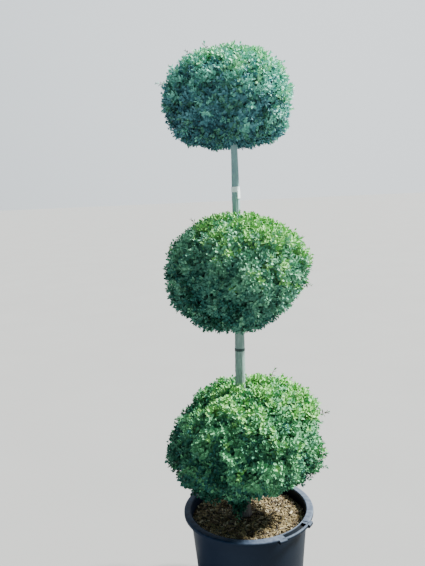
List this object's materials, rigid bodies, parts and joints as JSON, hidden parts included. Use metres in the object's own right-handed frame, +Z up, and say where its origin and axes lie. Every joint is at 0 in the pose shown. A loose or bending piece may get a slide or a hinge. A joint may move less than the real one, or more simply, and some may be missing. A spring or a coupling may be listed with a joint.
{
  "type": "triple ball topiary",
  "caption": "Evergreen shrub on one bare trunk, clipped into stacked leafy balls and growing in a round nursery pot with two side handles.",
  "frame": {"origin": "centre of the pot's flat underside", "axes": "+Z up along the trunk; -Y is the front, the side that the picture shows; +X to the right seen from the front. Pot handles at -48 and 132 degrees from +X."},
  "size_m": [0.6264, 0.6204, 2.0972],
  "materials": {
    "pot": "satin black with a faint blue cast",
    "soil": "rough bark chips over potting mix",
    "trunk": "smooth grey-brown bark with fine ridges",
    "tie_band": "matt black",
    "tie_tape": "thin white tape",
    "foliage_lower": "small glossy green leaves",
    "foliage_middle": "small glossy green leaves",
    "foliage_upper": "small glossy green leaves, bluer"
  },
  "bodies": {
    "root": {"pot": "pot", "soil": "soil", "trunk": "trunk", "lower_tie_band": "tie_band", "upper_tie_tape": "tie_tape", "foliage_ball_lower": "foliage_lower", "foliage_ball_middle": "foliage_middle", "foliage_ball_upper": "foliage_upper"}
  },
  "joints": []
}
